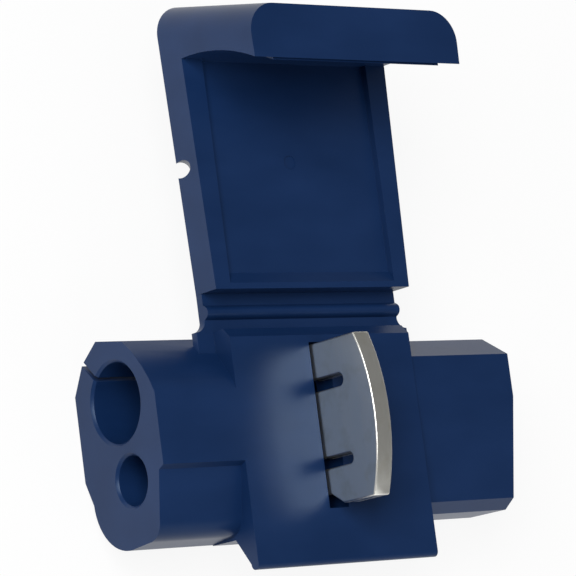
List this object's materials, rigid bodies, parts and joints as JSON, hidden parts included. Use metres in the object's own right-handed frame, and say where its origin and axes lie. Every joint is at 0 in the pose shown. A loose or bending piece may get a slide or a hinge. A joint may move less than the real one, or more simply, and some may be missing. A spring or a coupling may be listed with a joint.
{
  "type": "splice tap connector with fold-over cover",
  "caption": "Insulation-piercing splice tap: a moulded base with run and tap channels, a folded metal contact and a hinged cover that latches shut.",
  "frame": {"origin": "on the axis of the run channel, halfway along the barrel", "axes": "+X along the wires, away from the tap wire's entry; +Y towards the cover's hinge; +Z out of the side that the contact is pressed into"},
  "size_m": [0.024, 0.0299, 0.0131],
  "materials": {
    "blue_plastic": "moulded polypropylene, satin to glossy, navy blue",
    "tinned_brass": "tin-plated brass strip, satin"
  },
  "bodies": {
    "base": {"base": "blue_plastic", "hinge_strap": "blue_plastic"},
    "cover": {"cover": "blue_plastic"},
    "contact": {"contact": "tinned_brass"}
  },
  "joints": [
    {"name": "cover_hinge", "type": "hinge", "parent": "base", "child": "cover", "pos_m": [0, 0.0039, 0.00355], "axis": [1, 0, 0], "range_deg": [0, 180]},
    {"name": "contact_press", "type": "slide", "parent": "base", "child": "contact", "axis": [0, 0, -1], "range_m": [0, 0.00425]}
  ],
  "couplings": [
    {"joint": "contact_press", "follows": "cover_hinge", "m_per_rad": 0.0013528}
  ]
}
